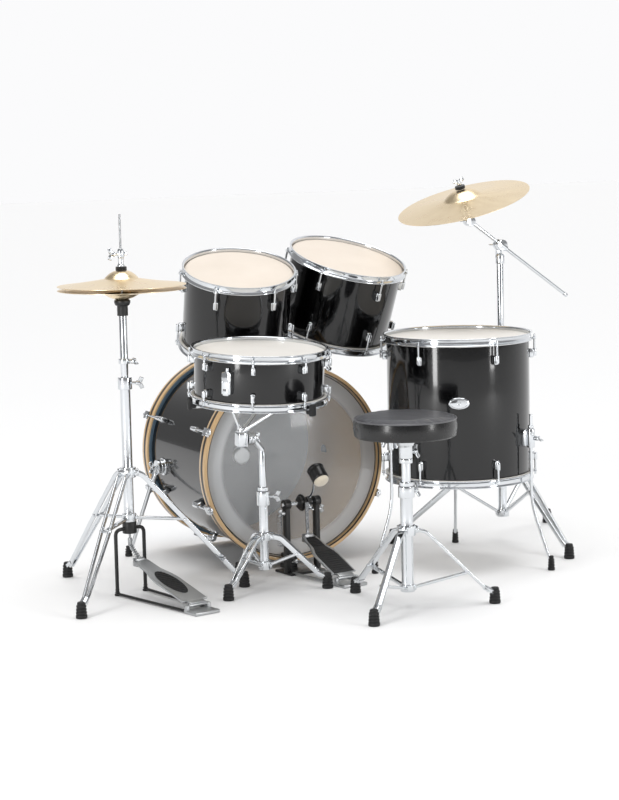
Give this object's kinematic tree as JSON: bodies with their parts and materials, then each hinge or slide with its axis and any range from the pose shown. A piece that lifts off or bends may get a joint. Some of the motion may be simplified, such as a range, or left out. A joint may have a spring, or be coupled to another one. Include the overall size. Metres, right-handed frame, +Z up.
{
  "type": "acoustic drum kit",
  "caption": "Acoustic drum kit: bass drum with pedal, rack toms, floor tom, snare on its stand, hi-hat, crash on a boom stand and a round throne; stands, pedals and tilters move.",
  "frame": {"origin": "middle of the kit's bounding box, on the floor", "axes": "+Z up; +Y away from the drummer, along the bass drum's axis; +X to the drummer's right"},
  "size_m": [1.8182, 1.2928, 1.1227],
  "materials": {
    "black_lacquer": "black high-gloss lacquer over wood plies",
    "chrome_plate": "bright chrome plate",
    "cream_film": "cream coated film",
    "white_film": "white coated film",
    "clear_film": "clear film with a frosted ring",
    "dark_film": "dark film",
    "maple_hoop": "clear-lacquered maple with a black inlay line",
    "bronze": "polished bronze, lathed in fine circles",
    "black_steel": "black satin paint",
    "cast_aluminium": "cast, satin",
    "plain_steel": "bright steel",
    "black_vinyl": "black vinyl, soft grain",
    "beater_felt": "felt and black plastic"
  },
  "bodies": {
    "kit": {"bass_shell": "black_lacquer", "bass_batter_head": "clear_film", "bass_front_head": "dark_film", "bass_batter_hoop": "maple_hoop", "bass_front_hoop": "maple_hoop", "tom_holder_base": "chrome_plate", "bass_pedal_frame": "black_steel", "bass_pedal_spring": "plain_steel", "floor_tom_shell": "black_lacquer", "floor_tom_top_head": "white_film", "floor_tom_bottom_head": "white_film", "floor_tom_top_hoop": "chrome_plate", "floor_tom_bottom_hoop": "chrome_plate", "snare_stand_base": "chrome_plate", "hihat_base": "chrome_plate", "hihat_pedal_frame": "black_steel", "boom_stand_base": "chrome_plate", "throne_base": "chrome_plate"},
    "spur_left": {"spur_left": "chrome_plate"},
    "spur_right": {"spur_right": "chrome_plate"},
    "tom_12_arm": {"tom_12_arm": "chrome_plate"},
    "tom_12": {"tom_12_shell": "black_lacquer", "tom_12_top_head": "cream_film", "tom_12_bottom_head": "white_film", "tom_12_top_hoop": "chrome_plate", "tom_12_bottom_hoop": "chrome_plate"},
    "tom_13_arm": {"tom_13_arm": "chrome_plate"},
    "tom_13": {"tom_13_shell": "black_lacquer", "tom_13_top_head": "cream_film", "tom_13_bottom_head": "white_film", "tom_13_top_hoop": "chrome_plate", "tom_13_bottom_hoop": "chrome_plate"},
    "floor_tom_leg_right": {"floor_tom_leg_right": "chrome_plate"},
    "floor_tom_leg_back": {"floor_tom_leg_back": "chrome_plate"},
    "floor_tom_leg_left": {"floor_tom_leg_left": "chrome_plate"},
    "snare_post": {"snare_stand_post": "chrome_plate"},
    "snare": {"snare_basket": "chrome_plate", "snare_shell": "black_lacquer", "snare_top_head": "white_film", "snare_bottom_head": "white_film", "snare_top_hoop": "chrome_plate", "snare_bottom_hoop": "chrome_plate", "snare_wires": "plain_steel"},
    "throw_off": {"snare_throw_off_lever": "chrome_plate"},
    "bass_footboard": {"bass_pedal_footboard": "cast_aluminium"},
    "bass_beater": {"bass_pedal_beater": "beater_felt"},
    "bass_chain": {"bass_pedal_chain": "plain_steel"},
    "hihat_post": {"hihat_upper_tube": "chrome_plate", "hihat_bottom_cymbal": "bronze"},
    "hihat_pull": {"hihat_rod": "plain_steel"},
    "hihat_top": {"hihat_clutch": "chrome_plate", "hihat_top_cymbal": "bronze"},
    "hihat_footboard": {"hihat_footboard": "cast_aluminium"},
    "boom_post": {"boom_stand_post": "chrome_plate"},
    "boom_clamp": {"boom_clamp": "chrome_plate"},
    "boom_arm": {"boom_arm": "chrome_plate"},
    "cymbal_tilter": {"cymbal_tilter": "chrome_plate"},
    "crash": {"crash_cymbal": "bronze"},
    "throne_post": {"throne_post": "chrome_plate"},
    "throne_seat": {"throne_seat": "black_vinyl"}
  },
  "joints": [
    {"name": "spur_left_fold", "type": "hinge", "parent": "kit", "child": "spur_left", "pos_m": [-0.3937, 0.51336, 0.2762], "axis": [-1, 0, 0], "range_deg": [0, 75]},
    {"name": "spur_right_fold", "type": "hinge", "parent": "kit", "child": "spur_right", "pos_m": [0.1911, 0.51336, 0.2762], "axis": [-1, 0, 0], "range_deg": [0, 75]},
    {"name": "tom_12_raise", "type": "slide", "parent": "kit", "child": "tom_12_arm", "axis": [0, 0, 1], "range_m": [0, 0.06]},
    {"name": "tom_12_tilt", "type": "hinge", "parent": "tom_12_arm", "child": "tom_12", "pos_m": [-0.1013, 0.45187, 0.73618], "axis": [1, 0, 0], "range_deg": [-16, 1]},
    {"name": "tom_13_raise", "type": "slide", "parent": "kit", "child": "tom_13_arm", "axis": [0, 0, 1], "range_m": [0, 0.06]},
    {"name": "tom_13_tilt", "type": "hinge", "parent": "tom_13_arm", "child": "tom_13", "pos_m": [-0.0513, 0.45187, 0.7476], "axis": [1, 0, 0], "range_deg": [-16, 1]},
    {"name": "floor_tom_leg_right_slide", "type": "slide", "parent": "kit", "child": "floor_tom_leg_right", "axis": [0, 0, 1], "range_m": [0, 0.1]},
    {"name": "floor_tom_leg_back_slide", "type": "slide", "parent": "kit", "child": "floor_tom_leg_back", "axis": [0, 0, 1], "range_m": [0, 0.1]},
    {"name": "floor_tom_leg_left_slide", "type": "slide", "parent": "kit", "child": "floor_tom_leg_left", "axis": [0, 0, 1], "range_m": [0, 0.1]},
    {"name": "snare_height", "type": "slide", "parent": "kit", "child": "snare_post", "axis": [0, 0, 1], "range_m": [-0.04, 0.04]},
    {"name": "snare_tilt", "type": "hinge", "parent": "snare_post", "child": "snare", "pos_m": [-0.3713, -0.06444, 0.43], "axis": [1, 0, 0], "range_deg": [-8, 6]},
    {"name": "throw_off_drop", "type": "hinge", "parent": "snare", "child": "throw_off", "pos_m": [-0.46808, -0.18199, 0.58291], "axis": [0.6088, -0.7923, -0.0415], "range_deg": [0, 80]},
    {"name": "bass_footboard_press", "type": "hinge", "parent": "kit", "child": "bass_footboard", "pos_m": [-0.09385, -0.13517, 0.02], "axis": [-0.9903, -0.1392, 0], "range_deg": [0, 9], "stiffness_Nm_per_rad": 6, "springref_deg": -8.59},
    {"name": "bass_beater_swing", "type": "hinge", "parent": "kit", "child": "bass_beater", "pos_m": [-0.12447, 0.08269, 0.205], "axis": [-0.9903, -0.1392, 0], "range_deg": [0, 74]},
    {"name": "bass_chain_pull", "type": "slide", "parent": "kit", "child": "bass_chain", "axis": [0, 0, -1], "range_m": [0, 0.0283]},
    {"name": "hihat_height", "type": "slide", "parent": "kit", "child": "hihat_post", "axis": [0, 0, 1], "range_m": [-0.035, 0]},
    {"name": "hihat_footboard_press", "type": "hinge", "parent": "kit", "child": "hihat_footboard", "pos_m": [-0.59477, -0.23614, 0.02], "axis": [-0.9781, -0.2079, 0], "range_deg": [0, 2], "stiffness_Nm_per_rad": 40, "springref_deg": -9.17},
    {"name": "hihat_rod_pull", "type": "slide", "parent": "kit", "child": "hihat_pull", "axis": [0, 0, 1], "range_m": [-0.0095, 0]},
    {"name": "hihat_clutch_slide", "type": "slide", "parent": "hihat_pull", "child": "hihat_top", "axis": [0, 0, 1], "range_m": [0, 0.08]},
    {"name": "boom_height", "type": "slide", "parent": "kit", "child": "boom_post", "axis": [0, 0, 1], "range_m": [-0.06, 0.12]},
    {"name": "boom_tilt", "type": "hinge", "parent": "boom_post", "child": "boom_clamp", "pos_m": [0.6123, 0.17686, 0.9156], "axis": [0, 1, 0], "range_deg": [-10, 25]},
    {"name": "boom_slide", "type": "slide", "parent": "boom_clamp", "child": "boom_arm", "axis": [-0.8141, 0, 0.5807], "range_m": [-0.05, 0.08]},
    {"name": "cymbal_tilt", "type": "hinge", "parent": "boom_arm", "child": "cymbal_tilter", "pos_m": [0.50565, 0.17406, 0.99167], "axis": [0, -1, 0], "range_deg": [-15, 15]},
    {"name": "crash_rock", "type": "hinge", "parent": "cymbal_tilter", "child": "crash", "pos_m": [0.47708, 0.17603, 1.08566], "axis": [0, -1, 0], "range_deg": [-8, 8], "stiffness_Nm_per_rad": 2},
    {"name": "throne_height", "type": "slide", "parent": "kit", "child": "throne_post", "axis": [0, 0, 1], "range_m": [-0.05, 0.06]},
    {"name": "throne_spin", "type": "hinge", "parent": "throne_post", "child": "throne_seat", "pos_m": [-0.0833, -0.48113, 0.45], "axis": [0, 0, 1], "continuous": true}
  ],
  "couplings": [
    {"joint": "bass_beater_swing", "follows": "bass_footboard_press", "ratio": 8.2},
    {"joint": "bass_chain_pull", "follows": "bass_footboard_press", "m_per_rad": 0.18},
    {"joint": "hihat_rod_pull", "follows": "hihat_footboard_press", "m_per_rad": -0.272}
  ]
}
